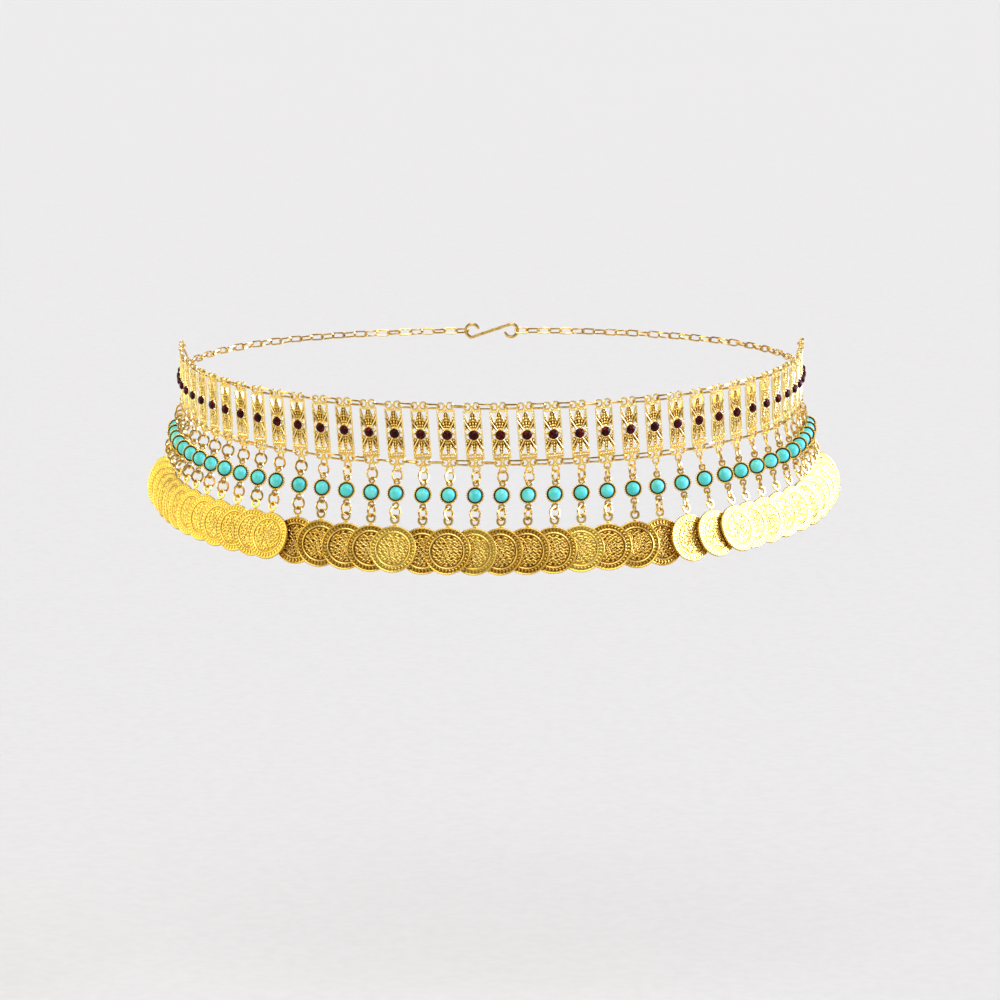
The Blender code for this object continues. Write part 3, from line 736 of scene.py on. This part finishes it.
# Behind: reach is along the ring past the end plates; turns and looseness of the chain's links in degrees
back = dict(
    bailReach=18.0, bailWire=0.5, bailPoints=70,
    linkHalf=1.5, linkWire=0.42, linkLong=3.0, linkPitch=5.2, linkTurns=(45, 135), looseness=9, overlap=0.5,
    hookHalf=12.0, hookBend=3.0, hookWire=0.75, hookArc=(-90, 165), hookPoints=80, hookTip=0.7, tipPoints=6,
)
# A bail's curl round the wire of the upper eye, in the end plate's axes with x outwards
bailCurl = [(1.0, 1.2, 11.2), (1.7, 0.7, 11.6), (2.2, -0.4, 11.9), (3.4, -1.1, 12.0), (5.4, -0.9, 11.8)]
# Its nose, which the chain hangs in, in the ring's axes there
bailNose = [(0, 0, 1.6), (0.5, 0, 0.9), (0.6, 0, 0), (0.5, 0, -0.9), (0, 0, -1.6)]
halfRing = ringLengths[-1]


# Bail: a smooth curve from a curl round an eye's wire, out to a narrow nose and back to the lower eye
def addBail(name, node, place, side):
    centre, axes = plateFrame(place)
    curl, nose = np.array(bailCurl), np.array(bailNose)
    upper = centre + (curl * (side, 1, 1)) @ axes
    lower = centre + (curl * (side, 1, -1)) @ axes
    noseCentre, noseAxes = ringFrame((place - row["middlePlace"]) * row["pitch"] + side * back["bailReach"])
    tip = noseCentre + (nose * (side, 1, 1)) @ noseAxes
    path = smoothPath(np.vstack([upper, tip, lower[::-1]]), back["bailPoints"])
    surface = wireAlong(path, back["bailWire"], 8, face=axes[1])
    makePiece(name, [surface], wireGilt, "root", (node,))


# Chain: oblong links at even lengths along the ring, at one turn and the other, each loose by a few degrees
def addChain(name, node, place, side):
    b = back
    plateEnd = abs((place - row["middlePlace"]) * row["pitch"])
    start = plateEnd + b["bailReach"] + b["linkLong"] - b["overlap"]
    end = halfRing - b["hookHalf"] + b["hookWire"] + b["linkWire"] - b["linkLong"]
    count = round((end - start) / b["linkPitch"]) + 1
    stretch = b["linkLong"] - b["linkHalf"]
    shape = wireRing(b["linkHalf"], b["linkWire"], around=14, across=6, stretch=stretch)
    centres, axes = ringFrame(side * np.linspace(start, end, count))
    loose = b["looseness"]
    turns = [b["linkTurns"][k % 2] + draw.uniform(-loose, loose) for k in range(count)]
    links = [moved(shape, centres[k], turnAboutX(turns[k]) @ axes[k]) for k in range(count)]
    makePiece(name, links, wireGilt, "root", (node,))
    print(name, "has", count, "links")


# S-shaped hook: the arc (middle + bend cos a, bend sin a), its half turn about the centre and a line
# between, of a wire that thins towards its tips
def addHook():
    b = back
    count, tips = b["hookPoints"], b["tipPoints"]
    turns = np.radians(np.linspace(*b["hookArc"], 14))
    middle = b["hookHalf"] - b["hookBend"]
    loop = np.stack([middle + b["hookBend"] * np.cos(turns), 0 * turns, b["hookBend"] * np.sin(turns)], -1)
    route = smoothPath(np.vstack([-loop[::-1], [[0, 0, 0]], loop]), count)
    fromEnd = np.minimum(np.arange(count), count - 1 - np.arange(count))
    taper = np.interp(fromEnd, [0, tips], [b["hookTip"], 1])
    centre, axes = ringFrame(halfRing)
    surface = wireAlong(centre + route @ axes, b["hookWire"] * taper, 8, face=axes[1])
    makePiece("closing_hook", [surface], wireGilt, "root", ("hook",))


for word, place, side in (("left", 0, -1), ("right", row["count"] - 1, 1)):
    addBail(f"end_bail_{word}", f"bail_{word}", place, side)
    addChain(f"back_chain_{word}", f"chain_{word}", place, side)
addHook()

# Suns as wide as softboxes light the floor evenly; azimuth is from the front to the right, in degrees
studio = dict(
    floorDrop=260.0, floorHalf=60000.0, floorColours=("#D1CFC5", "#D5D3C9"), floorCloud=6.0, floorRough=0.9,
    world="#E6E6E4", worldStrength=0.32, lampDistance=2000.0,
    camera=dict(distance=2000.0, elevation=8.0, lens=161.9, sensor=36.0, aim=(3.83, 0.0, -58.6)),
    lights=[
        dict(name="softbox_left", azimuth=-92.0, elevation=14.0, width=64.0, power=1.6,
             colour=(1.12, 1.04, 0.6)),
        dict(name="softbox_right", azimuth=88.0, elevation=14.0, width=42.0, power=4.6,
             colour=(0.86, 0.93, 1.55)),
        dict(name="softbox_top", azimuth=0.0, elevation=55.0, width=50.0, power=1.5,
             colour=(1, 1, 1)),
        dict(name="softbox_back", azimuth=180.0, elevation=35.0, width=60.0, power=0.8,
             colour=(1.04, 1, 0.9)),
    ],
)


# aim + distance (sin a cos e, -cos a cos e, sin e)
def onSphere(aim, distance, azimuth, elevation):
    a, e = math.radians(azimuth), math.radians(elevation)
    way = np.array([math.sin(a) * math.cos(e), -math.cos(a) * math.cos(e), math.sin(e)])
    return np.array(aim) + distance * way


# Floor: matt paint, pale and level below the belt, with faint clouds
def addFloor():
    half, z = studio["floorHalf"] * mm, -studio["floorDrop"] * mm
    corners = [(-half, -half, z), (half, -half, z), (half, half, z), (-half, half, z)]
    mesh = bpy.data.meshes.new("studio_floor")
    mesh.from_pydata(corners, [], [(0, 1, 2, 3)])
    floor = bpy.data.objects.new("studio_floor", mesh)
    bpy.context.scene.collection.objects.link(floor)
    material, tree, shader = newMaterial("matt painted floor")
    place = addNode(tree, "ShaderNodeTexCoord")
    cloud = addNode(tree, "ShaderNodeTexNoise", {"Vector": (place, "Object")},
                    {"Scale": 1 / (studio["floorCloud"] * mm)})
    ramp = addNode(tree, "ShaderNodeValToRGB", {"Fac": (cloud, "Fac")})
    setRamp(ramp, list(zip((0.3, 0.7), studio["floorColours"])))
    tree.links.new(ramp.outputs["Color"], shader.inputs["Base Color"])
    shader.inputs["Roughness"].default_value = studio["floorRough"]
    mesh.materials.append(material)


# Lamps on their sphere that face its middle, and the pale air around
def addLights():
    for spec in studio["lights"]:
        lamp = bpy.data.lights.new(spec["name"], "SUN")
        lamp.angle = math.radians(spec["width"])
        lamp.energy = spec["power"]
        lamp.color = spec["colour"]
        thing = bpy.data.objects.new(spec["name"], lamp)
        place = onSphere((0, 0, 0), studio["lampDistance"], spec["azimuth"], spec["elevation"])
        thing.location = place * mm
        thing.rotation_euler = (math.radians(90 - spec["elevation"]), 0, math.radians(spec["azimuth"]))
        bpy.context.scene.collection.objects.link(thing)
    world = bpy.data.worlds.new("studio_air")
    world.use_nodes = True
    air = world.node_tree.nodes["Background"]
    air.inputs["Color"].default_value = toLinear(studio["world"])
    air.inputs["Strength"].default_value = studio["worldStrength"]
    bpy.context.scene.world = world


# Camera on its sphere, facing what it aims at
def addCamera():
    spec = studio["camera"]
    lens = bpy.data.cameras.new("photo_camera")
    lens.lens = spec["lens"]
    lens.sensor_width = spec["sensor"]
    lens.clip_end = 100.0  # metres
    camera = bpy.data.objects.new("photo_camera", lens)
    camera.location = onSphere(spec["aim"], spec["distance"], 0, spec["elevation"]) * mm
    camera.rotation_euler = (math.radians(90 - spec["elevation"]), 0, 0)
    bpy.context.scene.collection.objects.link(camera)
    bpy.context.scene.camera = camera


addFloor()
addLights()
addCamera()
bpy.context.scene.view_settings.view_transform = "Standard"
